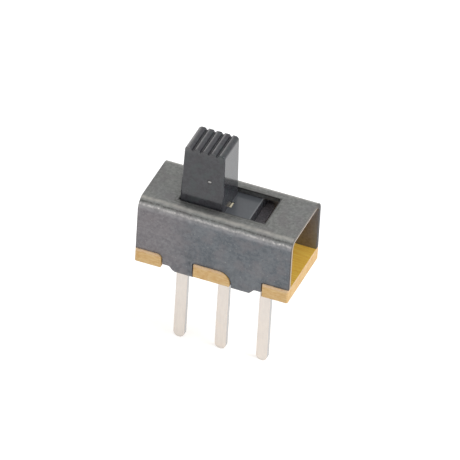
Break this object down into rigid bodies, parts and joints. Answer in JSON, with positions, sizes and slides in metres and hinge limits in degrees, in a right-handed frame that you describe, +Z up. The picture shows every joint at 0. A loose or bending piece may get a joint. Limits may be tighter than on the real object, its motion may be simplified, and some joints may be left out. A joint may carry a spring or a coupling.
{
  "type": "slide switch",
  "caption": "Small slide switch: folded steel shell on an insulating base, flat through-hole terminals and a ridged slider that moves a bridging contact.",
  "frame": {"origin": "on the circuit board's face, under the middle terminal", "axes": "+X along the switch, the way the slider travels from its rest; +Y to the back; +Z up, out of the circuit board"},
  "size_m": [0.011, 0.0056, 0.0168],
  "materials": {
    "shell": "satin",
    "base_board": "matte",
    "terminal": "satin",
    "slider": "satin",
    "contact_clip": "satin"
  },
  "bodies": {
    "housing": {"shell": "shell", "base_board": "base_board", "terminal_left": "terminal", "terminal_middle": "terminal", "terminal_right": "terminal"},
    "slider": {"slider": "slider", "contact_clip": "contact_clip"}
  },
  "joints": [
    {"name": "slider_travel", "type": "slide", "parent": "housing", "child": "slider", "axis": [1, 0, 0], "range_m": [0, 0.003]}
  ]
}
